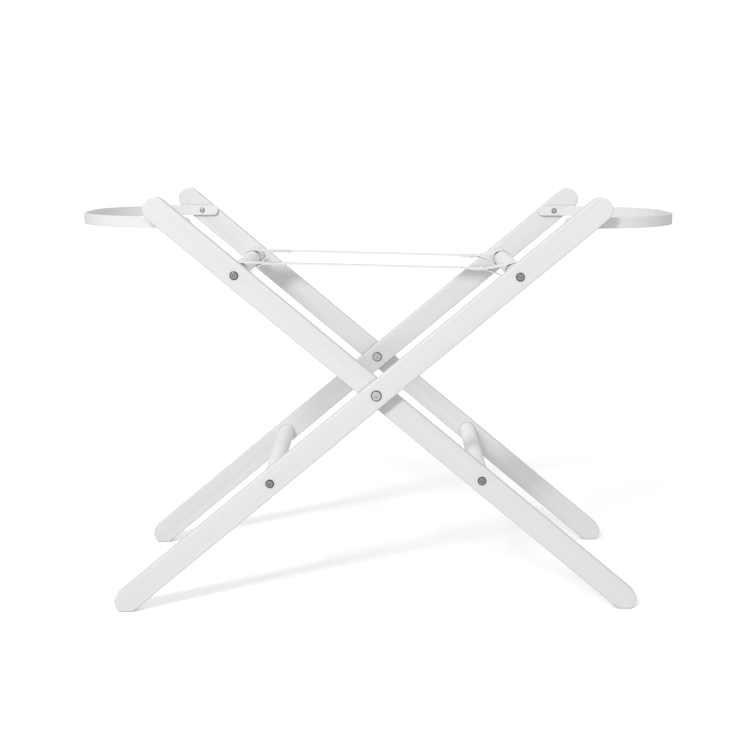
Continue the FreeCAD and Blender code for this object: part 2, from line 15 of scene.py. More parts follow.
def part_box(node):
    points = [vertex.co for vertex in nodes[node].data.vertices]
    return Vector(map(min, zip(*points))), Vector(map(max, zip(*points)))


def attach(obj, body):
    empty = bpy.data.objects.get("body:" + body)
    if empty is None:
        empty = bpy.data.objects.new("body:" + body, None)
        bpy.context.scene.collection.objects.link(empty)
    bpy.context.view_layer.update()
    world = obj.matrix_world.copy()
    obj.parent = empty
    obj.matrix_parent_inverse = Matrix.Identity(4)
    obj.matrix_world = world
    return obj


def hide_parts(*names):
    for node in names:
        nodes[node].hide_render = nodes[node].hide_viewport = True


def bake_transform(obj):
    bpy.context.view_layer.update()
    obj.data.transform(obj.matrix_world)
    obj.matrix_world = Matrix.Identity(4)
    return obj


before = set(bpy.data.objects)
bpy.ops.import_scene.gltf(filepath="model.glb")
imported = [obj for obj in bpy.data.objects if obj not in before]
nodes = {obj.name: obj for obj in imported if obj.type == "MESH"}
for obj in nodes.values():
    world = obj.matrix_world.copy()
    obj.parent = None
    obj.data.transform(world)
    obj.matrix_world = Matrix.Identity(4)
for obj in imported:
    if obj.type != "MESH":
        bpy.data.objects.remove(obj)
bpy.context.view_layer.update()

# %% [markdown]
# ## Camera and room
# The camera comes first, so that every later choice can be judged through it. It stands a little above
# the stand and two metres in front, and looks slightly down. A long lens keeps both crossings nearly
# parallel, as in a catalogue picture.

# %% Camera
CAMERA_PLACE = (0.0094, -2.2029, 0.6874)
CAMERA_PITCH = math.radians(9.477)
CAMERA_YAW = 0.0056
LENS = 68.27
SENSOR = 36.0

camera_data = bpy.data.cameras.new("camera")
camera_data.lens = LENS
camera_data.sensor_width = SENSOR
camera = bpy.data.objects.new("camera", camera_data)
camera.location = CAMERA_PLACE
camera.rotation_euler = (math.pi / 2 - CAMERA_PITCH, 0, CAMERA_YAW)
bpy.context.scene.collection.objects.link(camera)
bpy.context.scene.camera = camera
print("camera", [round(v, 3) for v in camera.location], "lens", LENS)

# %% [markdown]
# A plain white floor could be lit until it is nearly white, but then its bounce would fill every shadow on
# the stand. So the floor shows the camera a white that glows a little, and gives other rays a greyer
# surface. The Light Path node tells the two apart. The sky is made the same way.

# %% Floor
FLOOR_HALF = 12.0
FLOOR_GLOW_NEAR = 0.22
FLOOR_GLOW_FAR = 0.45
FLOOR_BOUNCE = 0.66

bpy.ops.object.select_all(action="DESELECT")
bpy.ops.mesh.primitive_plane_add(size=2 * FLOOR_HALF, location=(0, 0, 0))
floor = bpy.context.object
floor.name = "floor"
bpy.ops.object.mode_set(mode="EDIT")
bpy.ops.mesh.select_all(action="SELECT")
bpy.ops.mesh.subdivide(number_cuts=3)
bpy.ops.object.mode_set(mode="OBJECT")

floor_finish = bpy.data.materials.new("floor_white")
floor_finish.use_nodes = True
tree = floor_finish.node_tree
shown = tree.nodes["Principled BSDF"]
shown.inputs["Base Color"].default_value = (0.95, 0.95, 0.95, 1)
shown.inputs["Roughness"].default_value = 0.85
shown.inputs["Emission Color"].default_value = (1, 1, 1, 1)
away = tree.nodes.new("ShaderNodeTexCoord")
reach = tree.nodes.new("ShaderNodeVectorMath")
reach.operation = "LENGTH"
glow = tree.nodes.new("ShaderNodeMapRange")
glow.inputs["From Min"].default_value = 0.8
glow.inputs["From Max"].default_value = 2.2
glow.inputs["To Min"].default_value = FLOOR_GLOW_NEAR
glow.inputs["To Max"].default_value = FLOOR_GLOW_FAR
tree.links.new(away.outputs["Object"], reach.inputs[0])
tree.links.new(reach.outputs["Value"], glow.inputs["Value"])
tree.links.new(glow.outputs["Result"], shown.inputs["Emission Strength"])
bounced = tree.nodes.new("ShaderNodeBsdfDiffuse")
bounced.inputs["Color"].default_value = (FLOOR_BOUNCE, FLOOR_BOUNCE, FLOOR_BOUNCE, 1)
chooser = tree.nodes.new("ShaderNodeMixShader")
rays = tree.nodes.new("ShaderNodeLightPath")
tree.links.new(rays.outputs["Is Camera Ray"], chooser.inputs[0])
tree.links.new(bounced.outputs[0], chooser.inputs[1])
tree.links.new(shown.outputs[0], chooser.inputs[2])
tree.links.new(chooser.outputs[0], tree.nodes["Material Output"].inputs["Surface"])
floor.data.materials.append(floor_finish)
print("floor", 2 * FLOOR_HALF, "m across")

# %% Sky
SKY_SHOWN = 1.1
SKY_LIGHT = 0.69

world = bpy.data.worlds.new("studio")
world.use_nodes = True
bpy.context.scene.world = world
tree = world.node_tree
sky = tree.nodes["Background"]
sky.inputs["Color"].default_value = (1.0, 1.0, 1.0, 1)
rays = tree.nodes.new("ShaderNodeLightPath")
level = tree.nodes.new("ShaderNodeMapRange")
level.inputs["To Min"].default_value = SKY_LIGHT
level.inputs["To Max"].default_value = SKY_SHOWN
tree.links.new(rays.outputs["Is Camera Ray"], level.inputs["Value"])
tree.links.new(level.outputs["Result"], sky.inputs["Strength"])
bpy.context.scene.view_settings.view_transform = "Standard"
print("sky", SKY_LIGHT, "for light and", SKY_SHOWN, "for the camera")

# %% [markdown]
# One strip of soft light stands high on the left in front, so the crossing boards throw their shadows down
# to the right on each other. The strip lies along the boards that rise to the right: it keeps the edge of
# their shadow crisp on the boards just behind, and melts the shadows that reach the rear of the stand.
# The sky and the floor fill the rest.

# %% Lights
def softbox(name, place, aim, along, size, power):
    """An area light at place that faces aim. size is (length, width), and its length lies near along."""
    data = bpy.data.lights.new(name, "AREA")
    data.shape = "RECTANGLE"
    data.size, data.size_y = size
    data.energy = power
    light = bpy.data.objects.new(name, data)
    back = (Vector(place) - Vector(aim)).normalized()
    across = back.cross(Vector(along)).normalized()
    turn = Matrix((across.cross(back), across, back)).transposed().to_4x4()
    light.matrix_world = Matrix.Translation(place) @ turn
    bpy.context.scene.collection.objects.link(light)
    print(name, "power", power, "W")
    return light


softbox("key_light", (-2.14, -5.0, 3.78), (0, 0, 0.35), (0.77, 0, 0.64), (1.9, 0.9), 211)

# %% [markdown]
# ## Shared effects
# Paint, plastic and web all gather a little dust on their upper sides and lose a little finish on their edges, and
# paint, steel and web get painted shade where pieces meet. Each of these effects is a node group, built once with
# named sockets, so that every material can set its own amounts. A group only gives colours, masks and heights. The
# shader stays in the material.

# %% Group helper
def new_group(name, inputs, outputs):
    """An empty shader group with float or vector sockets. inputs: {name: default}."""
    group = bpy.data.node_groups.new(name, "ShaderNodeTree")
    for label, default in inputs.items():
        kind = "NodeSocketVector" if default is None else "NodeSocketFloat"
        made = group.interface.new_socket(label, in_out="INPUT", socket_type=kind)
        if default is not None:
            made.default_value = default
    for label in outputs:
        group.interface.new_socket(label, in_out="OUTPUT", socket_type="NodeSocketFloat")
    inside = group.nodes.new("NodeGroupInput")
    outside = group.nodes.new("NodeGroupOutput")
    return group, inside, outside


def put(tree, kind, operation=None, **values):
    """Adds a node. Values go to the inputs of that name, with _ for a space, or in_N for input N."""
    node = tree.nodes.new("ShaderNode" + kind)
    if operation:
        node.operation = operation
    for label, value in values.items():
        key = int(label[3:]) if label.startswith("in_") else label.replace("_", " ")
        if isinstance(value, bpy.types.NodeSocket):
            tree.links.new(value, node.inputs[key])
        else:
            node.inputs[key].default_value = value
    return node


print("helpers for node groups are ready")

# %% [markdown]
# Edge wear: the Bevel node looks at the surface within a small radius. Where it disagrees with the true
# normal there is an edge. A noise breaks the mask up, because nothing wears evenly.

# %% Edge wear group
edge_wear, given, result = new_group("edge_wear", {"Radius": 0.0015, "Amount": 1.0}, ["Mask"])
corner = put(edge_wear, "Bevel", Radius=given.outputs["Radius"])
corner.samples = 4
surface = put(edge_wear, "NewGeometry")
agree = put(edge_wear, "VectorMath", "DOT_PRODUCT", in_0=corner.outputs[0], in_1=surface.outputs["Normal"])
edge = put(edge_wear, "MapRange", Value=agree.outputs["Value"], From_Min=0.99, From_Max=0.80)
place = put(edge_wear, "TexCoord")
patches = put(edge_wear, "TexNoise", Vector=place.outputs["Object"], Scale=45.0, Detail=3.0)
broken = put(edge_wear, "MapRange", Value=patches.outputs[0], From_Min=0.38, From_Max=0.68)
worn = put(edge_wear, "Math", "MULTIPLY", in_0=edge.outputs[0], in_1=broken.outputs[0])
scaled = put(edge_wear, "Math", "MULTIPLY", in_0=worn.outputs[0], in_1=given.outputs["Amount"])
edge_wear.links.new(scaled.outputs[0], result.inputs["Mask"])
print("edge wear group:", len(edge_wear.nodes), "nodes")

# %% [markdown]
# Occlusion shade: painted shade where two pieces meet, such as round a bolt head, in its socket and between the web's
# layers. The Ambient Occlusion node finds such places, and a short distance keeps the mask close to the joint.

# %% Occlusion shade group
# painted shade: darkens colour where ambient occlusion finds a hollow or joint
occlusion_shade, given, result = new_group("occlusion_shade", {"Reach": 0.002, "Amount": 1.0}, ["Mask"])
hollow = put(occlusion_shade, "AmbientOcclusion", Distance=given.outputs["Reach"])
hollow.samples = 8
closed = put(occlusion_shade, "MapRange", Value=hollow.outputs["AO"], From_Min=0.9, From_Max=0.35)
scaled = put(occlusion_shade, "Math", "MULTIPLY", in_0=closed.outputs[0], in_1=given.outputs["Amount"])
occlusion_shade.links.new(scaled.outputs[0], result.inputs["Mask"])
print("grime group:", len(occlusion_shade.nodes), "nodes")

# %% Dust group
dust, given, result = new_group("dust", {"Amount": 1.0, "Patch Scale": 18.0}, ["Mask"])
surface = put(dust, "NewGeometry")
facing = put(dust, "SeparateXYZ", Vector=surface.outputs["Normal"])
upward = put(dust, "MapRange", Value=facing.outputs["Z"], From_Min=0.35, From_Max=1.0)
place = put(dust, "TexCoord")
cloud = put(dust, "TexNoise", Vector=place.outputs["Object"], Scale=given.outputs["Patch Scale"], Detail=5.0)
spread = put(dust, "MapRange", Value=cloud.outputs[0], From_Min=0.35, From_Max=0.75)
settled = put(dust, "Math", "MULTIPLY", in_0=upward.outputs[0], in_1=spread.outputs[0])
scaled = put(dust, "Math", "MULTIPLY", in_0=settled.outputs[0], in_1=given.outputs["Amount"])
dust.links.new(scaled.outputs[0], result.inputs["Mask"])
print("dust group:", len(dust.nodes), "nodes")

# %% [markdown]
# Grain: under white paint, wood shows only as long shallow ridges, and the brush leaves finer ones along
# the same way. The group expects coordinates whose Z runs along the piece, and squeezes a noise along Z.

# %% Grain group
grain, given, result = new_group("grain", {"Along Z": None, "Fineness": 420.0, "Stretch": 0.035}, ["Height", "Streak"])
length_scale = put(grain, "Math", "MULTIPLY", in_0=given.outputs["Fineness"], in_1=given.outputs["Stretch"])
squeeze = put(grain, "CombineXYZ", X=given.outputs["Fineness"], Y=given.outputs["Fineness"], Z=length_scale.outputs[0])
squeezed = put(grain, "VectorMath", "MULTIPLY", in_0=given.outputs["Along Z"], in_1=squeeze.outputs[0])
fine = put(grain, "TexNoise", Vector=squeezed.outputs[0], Scale=1.0, Detail=4.0, Roughness=0.55)
slow = put(grain, "TexNoise", Vector=squeezed.outputs[0], Scale=0.16, Detail=2.0)
both = put(grain, "Math", "MULTIPLY_ADD", in_0=slow.outputs[0], in_1=0.6, in_2=fine.outputs[0])
streak = put(grain, "MapRange", Value=slow.outputs[0], From_Min=0.35, From_Max=0.7)
grain.links.new(both.outputs[0], result.inputs["Height"])
grain.links.new(streak.outputs[0], result.inputs["Streak"])
print("grain group:", len(grain.nodes), "nodes")

# %% Material helpers
def new_material(name):
    """A material with its Principled shader."""
    material = bpy.data.materials.new(name)
    material.use_nodes = True
    return material, material.node_tree, material.node_tree.nodes["Principled BSDF"]


def use(tree, group, **values):
    """Places a shared group with its own values."""
    node = tree.nodes.new("ShaderNodeGroup")
    node.node_tree = group
    for label, value in values.items():
        socket = node.inputs[label.replace("_", " ")]
        if isinstance(value, bpy.types.NodeSocket):
            tree.links.new(value, socket)
        else:
            socket.default_value = value
    return node


def tinted(tree, base, other, mask):
    """Mixes two colours by a mask. base may be a colour or the output of an earlier mix."""
    mix = tree.nodes.new("ShaderNodeMix")
    mix.data_type = "RGBA"
    tree.links.new(mask, mix.inputs["Factor"])
    for socket, value in ((mix.inputs[6], base), (mix.inputs[7], other)):
        if isinstance(value, bpy.types.NodeSocket):
            tree.links.new(value, socket)
        else:
            socket.default_value = (*value, 1)
    return mix.outputs[2]


def relief(tree, shader, height, distance, strength=1.0):
    """A bump from a height, in metres."""
    bump = put(tree, "Bump", Height=height, Distance=distance, Strength=strength)
    tree.links.new(bump.outputs[0], shader.inputs["Normal"])
    return bump


print("material helpers are ready")

# %% [markdown]
# ## White paint on wood
# The boards and bars have a satin white paint, brushed on along the wood. The two frames lean opposite ways, so each
# gets its own copy of the paint, turned to its boards. The bars lie along Y, so their paint is turned a quarter turn
# about X. The bars' copy is also 1.25 times brighter than the boards': painted light, so the bars look more brightly
# lit.

# %% Painted wood
PAINT = (0.75, 0.75, 0.755)
PAINT_STREAK = (0.705, 0.705, 0.705)
PAINT_JOINT_SHADE = (0.28, 0.275, 0.27)
PAINT_WORN = (0.66, 0.63, 0.57)
DUST_GREY = (0.61, 0.60, 0.58)


def painted_wood(name, turn, light_lift):
    """Satin white paint over wood whose length the turn brings to Z. The last argument scales the paint's colour, and
    above 1 it is painted light.
    """
    paint = tuple(c * light_lift for c in PAINT)
    streak_paint = tuple(c * light_lift for c in PAINT_STREAK)
    material, tree, shader = new_material(name)
    place = put(tree, "TexCoord")
    turned = put(tree, "Mapping", Vector=place.outputs["Object"], Rotation=turn)
    wood = use(tree, grain, Along_Z=turned.outputs[0])
    wear = use(tree, edge_wear, Radius=0.0016, Amount=0.35)
    dusty = use(tree, dust, Amount=0.22)
    streaked = tinted(tree, paint, streak_paint, wood.outputs["Streak"])
    worn = tinted(tree, streaked, PAINT_WORN, wear.outputs["Mask"])
    # painted shade: the paint goes darker where pieces meet, round the bolt heads and at the crossings
    joint_shade = use(tree, occlusion_shade, Reach=0.0035, Amount=0.40)
    joint_shaded = tinted(tree, worn, PAINT_JOINT_SHADE, joint_shade.outputs["Mask"])
    final = tinted(tree, joint_shaded, DUST_GREY, dusty.outputs["Mask"])
    tree.links.new(final, shader.inputs["Base Color"])
    gloss = put(tree, "MapRange", Value=wood.outputs["Height"], To_Min=0.34, To_Max=0.52)
    tree.links.new(gloss.outputs[0], shader.inputs["Roughness"])
    relief(tree, shader, wood.outputs["Height"], 0.0003, 0.8)
    return material


LEAN = math.radians(50)
boards_right = painted_wood("painted_boards_right", (0, -LEAN, 0), 1.0)
boards_left = painted_wood("painted_boards_left", (0, LEAN, 0), 1.0)
# painted light: the bars' paint is 1.25 times brighter, a lighter copy of the same paint
bars = painted_wood("painted_bars", (math.pi / 2, 0, 0), 1.25)
print("paint for two leans and the bars")

# %% [markdown]
# ## Plastic, steel and nylon
# The hoops are moulded strips in a cooler white than the paint, smoother, with the faint orange peel of a mould. The
# bolts are plated steel: a bright metal, with fine turning marks that only show in its gloss. Where a steel surface
# turns away from facing along Y, as on the sides of the heads, its colour is painted nearly black as a painted dark
# reflection, and the sockets and joints get painted shade. The bar bolts get a darker copy of the same steel, as
# painted shade.

# %% Hoop plastic
def moulded_plastic(name, colour, shade, roughness, peel_scale, peel_depth, wear_amount, dust_amount):
    material, tree, shader = new_material(name)
    place = put(tree, "TexCoord")
    cloud = put(tree, "TexNoise", Vector=place.outputs["Object"], Scale=26.0, Detail=3.0)
    peel = put(tree, "TexNoise", Vector=place.outputs["Object"], Scale=peel_scale, Detail=2.0)
    wear = use(tree, edge_wear, Radius=0.0008, Amount=wear_amount)
    dusty = use(tree, dust, Amount=dust_amount, Patch_Scale=30.0)
    mottled = tinted(tree, colour, shade, cloud.outputs[0])
    worn = tinted(tree, mottled, shade, wear.outputs["Mask"])
    final = tinted(tree, worn, DUST_GREY, dusty.outputs["Mask"])
    tree.links.new(final, shader.inputs["Base Color"])
    gloss = put(tree, "MapRange", Value=cloud.outputs[0], To_Min=roughness - 0.05, To_Max=roughness + 0.07)
    tree.links.new(gloss.outputs[0], shader.inputs["Roughness"])
    relief(tree, shader, peel.outputs[0], peel_depth, 0.5)
    return material


hoop_plastic = moulded_plastic("hoop_plastic", (0.79, 0.79, 0.81), (0.74, 0.74, 0.765), 0.34, 900.0, 0.00004, 0.3, 0.2)
stud_plastic = moulded_plastic("stud_plastic", (0.78, 0.78, 0.77), (0.72, 0.72, 0.71), 0.24, 2200.0, 0.00002, 0.3, 0.1)
nylon = moulded_plastic("washer_nylon", (0.74, 0.74, 0.71), (0.68, 0.68, 0.65), 0.42, 1500.0, 0.00003, 0.2, 0.1)
print("hoop, stud and washer plastics")


# %% Plated steel
# painted dark reflection on the heads' sides, and painted shade in sockets and joints
STEEL_RIM_REFLECTION = (0.035, 0.035, 0.038)
STEEL_SOCKET_SHADE = (0.02, 0.02, 0.02)


def plated_steel(name, colour, dull, roughness):
    material, tree, shader = new_material(name)
    place = put(tree, "TexCoord")
    marks = put(tree, "TexNoise", Vector=place.outputs["Object"], Scale=1400.0, Detail=2.0)
    blotch = put(tree, "TexNoise", Vector=place.outputs["Object"], Scale=160.0, Detail=3.0)
    # painted dark reflection: faces that turn away from Y, such as the heads' sides, go nearly black
    slope = put(tree, "SeparateXYZ", Vector=place.outputs["Normal"])
    facing = put(tree, "Math", "ABSOLUTE", in_0=slope.outputs["Y"])
    side = put(tree, "MapRange", Value=facing.outputs[0], From_Min=0.999, From_Max=0.90)
    clouded = tinted(tree, colour, dull, blotch.outputs[0])
    rim_darkened = tinted(tree, clouded, STEEL_RIM_REFLECTION, side.outputs[0])
    # painted shade: the socket and the joint round each head go nearly black
    socket_shade = use(tree, occlusion_shade, Reach=0.0010, Amount=0.8)
    final = tinted(tree, rim_darkened, STEEL_SOCKET_SHADE, socket_shade.outputs["Mask"])
    tree.links.new(final, shader.inputs["Base Color"])
    shader.inputs["Metallic"].default_value = 1.0
    shader.inputs["Specular Tint"].default_value = (0.35, 0.35, 0.36, 1)
    gloss = put(tree, "MapRange", Value=marks.outputs[0], To_Min=roughness - 0.08, To_Max=roughness + 0.10)
    tree.links.new(gloss.outputs[0], shader.inputs["Roughness"])
    relief(tree, shader, marks.outputs[0], 0.00003, 0.5)
    return material


bolt_steel = plated_steel("bolt_steel", (0.84, 0.84, 0.84), (0.70, 0.70, 0.71), 0.30)
# the bar bolts are the same steel made darker: painted shade
bar_bolt_steel_shaded = plated_steel("bar_bolt_steel_shaded", (0.48, 0.48, 0.49), (0.34, 0.34, 0.35), 0.26)
insert_zinc = plated_steel("insert_zinc", (0.55, 0.56, 0.57), (0.42, 0.42, 0.43), 0.42)
print("bolt steels and insert zinc")

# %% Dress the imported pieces
FINISHES = {
    "right_frame_front_leg": boards_right, "right_frame_rear_leg": boards_right,
    "left_frame_front_leg": boards_left, "left_frame_rear_leg": boards_left,
    "right_frame_upper_bar": bars, "right_frame_lower_bar": bars,
    "left_frame_upper_bar": bars, "left_frame_lower_bar": bars,
    "right_hoop": hoop_plastic, "left_hoop": hoop_plastic,
}
for name in nodes:
    if name.endswith("bar_bolts"):
        FINISHES[name] = bar_bolt_steel_shaded
    elif name.endswith(("screws", "bolt", "sleeve_nut")):
        FINISHES[name] = bolt_steel
    elif name.endswith("inserts"):
        FINISHES[name] = insert_zinc
    elif name.endswith(("washer", "washers")):
        FINISHES[name] = nylon
for name, finish in FINISHES.items():
    for place in nodes[name].material_slots:
        place.material = finish
print("dressed", len(FINISHES), "packed pieces")

# %% [markdown]
# ## Web straps
# A strap is one length of cotton web, 25 mm wide. It starts as a short tail under the strap, goes round
# the left bar, comes back over its own tail, where it is sewn, crosses to the right bar, goes round it and
# ends under itself, where a press stud holds it. Extruding one cross line along that way and spinning it
# round each bar makes the whole strap in the order in which the web runs.

# %% Where the strap runs
def centre(node):
    """The middle of a node's box."""
    low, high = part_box(node)
    return (low + high) / 2


WEB_THICK = 0.0015                     # the web
WEB_STEP = 0.0016                      # from one layer's middle to the next
SEWN_REACH = 0.034                     # left bar's axis to where the layers join
SEWN_RISE = 0.0118                     # and that point above the axis
STUD_REACH = 0.040                     # the same two at the right bar
STUD_RISE = 0.0037
SEWN_LENGTH = 0.030
OVERLAP = 0.026
STUD_BACK = 0.009                      # from the join to the stud

bar_left = centre("left_frame_upper_bar")
bar_right = centre("right_frame_upper_bar")
bar_low, bar_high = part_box("right_frame_upper_bar")
strap_low, strap_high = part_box("front_strap")
BAR_RADIUS = (bar_high.x - bar_low.x) / 2
LOOP_RADIUS = strap_high.x - bar_right.x - WEB_STEP / 2
WEB_WIDTH = strap_high.y - strap_low.y
sewn_point = Vector((bar_left.x + SEWN_REACH, 0, bar_left.z + SEWN_RISE))
stud_point = Vector((bar_right.x - STUD_REACH, 0, bar_right.z + STUD_RISE))
web_way = (stud_point - sewn_point).normalized()
web_up = Vector((-web_way.z, 0, web_way.x))
print(f"web {WEB_WIDTH * 1000:.0f} mm wide, loops of {LOOP_RADIUS * 1000:.1f} mm radius")


# %% Strap helpers
def in_plane(point):
    """A point with its depth taken out."""
    return Vector((point.x, 0, point.z))


def tangent_points(middle, join):
    """The upper and lower points where lines from a loop's outer point touch the loop, and that point."""
    reach = join - middle
    tip = middle + reach * (LOOP_RADIUS / (LOOP_RADIUS - WEB_STEP / 2))
    reach = tip - middle
    heading = math.atan2(reach.z, reach.x)
    spread = math.acos(LOOP_RADIUS / reach.length)
    points = [middle + LOOP_RADIUS * Vector((math.cos(a), 0, math.sin(a)))
              for a in (heading + spread, heading - spread)]
    points.sort(key=lambda p: -p.z)
    return points[0], points[1], tip


def meet(point, way, other, other_way):
    """Where two lines in the strap's plane cross."""
    gap = other - point
    cross = way.x * other_way.z - way.z * other_way.x
    share = (gap.x * other_way.z - gap.z * other_way.x) / cross
    return point + way * share


def turn_between(middle, start, end, clockwise=True):
    """The angle from start to end round middle, seen from the front."""
    first, last = start - middle, end - middle
    angle = math.atan2(last.z, last.x) - math.atan2(first.z, first.x)
    return angle % (2 * math.pi) - (2 * math.pi if clockwise else 0)


left_top, left_low, left_tip = tangent_points(in_plane(bar_left), sewn_point)
right_top, right_low, right_tip = tangent_points(in_plane(bar_right), stud_point)
under = -web_up * (WEB_STEP / 2)
over = web_up * (WEB_STEP / 2)
tail_start = sewn_point + web_way * SEWN_LENGTH + under
left_join = meet(tail_start, web_way, left_low, left_tip - left_low)
sewn_over = sewn_point + web_way * (SEWN_LENGTH / 2) + over
right_rise = meet(sewn_over, web_way, right_top, right_tip - right_top)
right_join = meet(tail_start, web_way, right_low, right_tip - right_low)
tail_end = stud_point - web_way * OVERLAP + under
print("the web joins itself at", [round(v, 4) for v in (left_join.x, right_join.x)])


# %% [markdown]
# The strip is one face wide while it grows, because extrude and spin both work on the selected end line.
# A crease stays where a straight run meets a loop's tangent, and a bevel across it gives the web its bend.

# %% Grow the strap
BEND = 0.0035


def run_to(here, target, pieces):
    """Extrudes the selected line to a point in equal steps."""
    step = (target - here) / pieces
    for _ in range(pieces):
        bpy.ops.mesh.extrude_region_move(TRANSFORM_OT_translate={"value": step})
    return target


def select_lines(mesh, points, near=1e-4):
    """Selects the cross lines that pass through these points, in edit mode."""
    bpy.ops.mesh.select_all(action="DESELECT")
    shape = bmesh.from_edit_mesh(mesh)
    for edge in shape.edges:
        a, b = (in_plane(v.co) for v in edge.verts)
        if (a - b).length < near and any((a - p).length < near for p in points):
            edge.select = True
    shape.select_flush_mode()
    bmesh.update_edit_mesh(mesh)


def grow_strap(name, depth):
    """The strap's middle surface, one face wide, at a depth."""
    bpy.ops.object.select_all(action="DESELECT")
    bpy.ops.mesh.primitive_plane_add(size=1, location=(0, 0, 0))
    strip = bpy.context.object
    strip.name = name
    first = web_way * -0.004
    side = Vector((0, WEB_WIDTH / 2, 0))
    corners = [tail_start - side, tail_start + side, tail_start + first + side, tail_start + first - side]
    for vertex in strip.data.vertices:
        index = (0 if vertex.co.x > 0 else 2) + (0 if (vertex.co.y < 0) == (vertex.co.x > 0) else 1)
        vertex.co = corners[index]
    bpy.context.tool_settings.mesh_select_mode = (False, True, False)
    bpy.ops.object.mode_set(mode="EDIT")
    select_lines(strip.data, [tail_start + first])
    here = run_to(tail_start + first, left_join, 5)
    here = run_to(here, left_low, 4)
    bpy.ops.mesh.spin(steps=30, angle=turn_between(in_plane(bar_left), left_low, left_top),
                      center=in_plane(bar_left), axis=(0, 1, 0))
    here = run_to(left_top, sewn_over, 8)
    here = run_to(here, right_rise, 44)
    here = run_to(here, right_top, 6)
    bpy.ops.mesh.spin(steps=30, angle=turn_between(in_plane(bar_right), right_top, right_low),
                      center=in_plane(bar_right), axis=(0, 1, 0))
    here = run_to(right_low, right_join, 4)
    run_to(here, tail_end, 5)
    select_lines(strip.data, [left_join, right_rise, right_join])
    bpy.ops.mesh.bevel(offset=BEND, offset_type="OFFSET", segments=5, affect="EDGES")
    bpy.ops.mesh.select_all(action="SELECT")
    bpy.ops.mesh.remove_doubles(threshold=1e-6)
    bpy.ops.object.mode_set(mode="OBJECT")
    strip.data.transform(Matrix.Translation((0, depth, 0)))
    return strip


front_depth = centre("front_strap").y
rear_depth = centre("rear_strap").y
front_strap = grow_strap("front_web_strap", front_depth)
print("the strip has", len(front_strap.data.polygons), "faces")

# %% [markdown]
# The weave has to follow the web round its loops, so the strap needs its own map: across the web in one
# direction and the length walked from the tail in the other, both in metres. Walking from face to face
# over the cross lines gives that length, and with it the length of web that one strap takes.

# %% Map the strap
def walk_web(strip):
    """Writes the UV map in metres and returns the length of the web."""
    shape = bmesh.new()
    shape.from_mesh(strip.data)
    layer = shape.loops.layers.uv.new("web")
    depth = sum(v.co.y for v in shape.verts) / len(shape.verts)
    start = (tail_start, tail_end)
    lines = [e for e in shape.edges if abs(e.verts[0].co.y - e.verts[1].co.y) > WEB_WIDTH / 2]
    line = min(lines, key=lambda e: (in_plane(e.verts[0].co) - start[0]).length)
    walked, length, face = {line: 0.0}, 0.0, line.link_faces[0]
    while face:
        beyond = [e for e in face.edges if e != line and e in lines][0]
        length += (in_plane(beyond.verts[0].co) - in_plane(line.verts[0].co)).length
        walked[beyond] = length
        line = beyond
        ahead = [f for f in beyond.link_faces if f != face]
        face = ahead[0] if ahead else None
    along = {v: far for edge, far in walked.items() for v in edge.verts}
    for face in shape.faces:
        for corner in face.loops:
            corner[layer].uv = (corner.vert.co.y - depth, along[corner.vert])
    shape.to_mesh(strip.data)
    shape.free()
    return length


web_length = walk_web(front_strap)
print(f"one strap takes {web_length * 1000:.0f} mm of web")


# %% Give the web its thickness
def thicken(strip):
    """Solidify for the thickness, then a bevel that rounds the woven edges, both applied."""
    bpy.ops.object.select_all(action="DESELECT")
    strip.select_set(True)
    bpy.context.view_layer.objects.active = strip
    solid = strip.modifiers.new("thickness", "SOLIDIFY")
    solid.thickness = WEB_THICK
    solid.offset = 0
    solid.use_even_offset = True
    rounded = strip.modifiers.new("selvedge", "BEVEL")
    rounded.width = 0.0005
    rounded.segments = 3
    rounded.limit_method = "ANGLE"
    rounded.angle_limit = math.radians(50)
    for modifier in list(strip.modifiers):
        bpy.ops.object.modifier_apply(modifier=modifier.name)
    bpy.ops.object.shade_smooth_by_angle(angle=math.radians(40))


def own_copy(piece, name, shift):
    """A copy with its own mesh, moved in its mesh."""
    twin = piece.copy()
    twin.data = piece.data.copy()
    twin.name = name
    twin.data.transform(Matrix.Translation(shift))
    bpy.context.scene.collection.objects.link(twin)
    return twin


thicken(front_strap)
rear_strap = own_copy(front_strap, "rear_web_strap", (0, rear_depth - front_depth, 0))
print("straps:", front_strap.name, rear_strap.name, len(front_strap.data.polygons), "faces each")

# %% [markdown]
# Cotton web is woven in a herringbone: slanting ribs that turn back every few millimetres. Folding the
# width with Ping-Pong and adding it to the length gives slanted lines that zigzag, and a sine of that is
# the height of the threads. A fine noise stands for the fibres.

# %% Web material
WEB_WHITE = (0.96, 0.96, 0.96)
WEB_SHADE = (0.80, 0.80, 0.795)
WEB_LAYER_SHADE = (0.20, 0.20, 0.20)
RIB = 0.00105                           # from rib to rib along the web
COLUMN = 0.0042                         # width of a herringbone column

web_cloth, tree, shader = new_material("strap_web")
mapped = put(tree, "UVMap")
mapped.uv_map = "web"
parts = put(tree, "SeparateXYZ", Vector=mapped.outputs[0])
folded = put(tree, "Math", "PINGPONG", in_0=parts.outputs["X"], in_1=COLUMN)
slanted = put(tree, "Math", "ADD", in_0=parts.outputs["Y"], in_1=folded.outputs[0])
phase = put(tree, "Math", "MULTIPLY", in_0=slanted.outputs[0], in_1=2 * math.pi / RIB)
wave = put(tree, "Math", "SINE", in_0=phase.outputs[0])
fine_phase = put(tree, "Math", "MULTIPLY", in_0=parts.outputs["X"], in_1=2 * math.pi / 0.0007)
fine_wave = put(tree, "Math", "SINE", in_0=fine_phase.outputs[0])
threads = put(tree, "Math", "MULTIPLY_ADD", in_0=fine_wave.outputs[0], in_1=0.35, in_2=wave.outputs[0])
place = put(tree, "TexCoord")
fibre = put(tree, "TexNoise", Vector=place.outputs["Object"], Scale=5200.0, Detail=3.0)
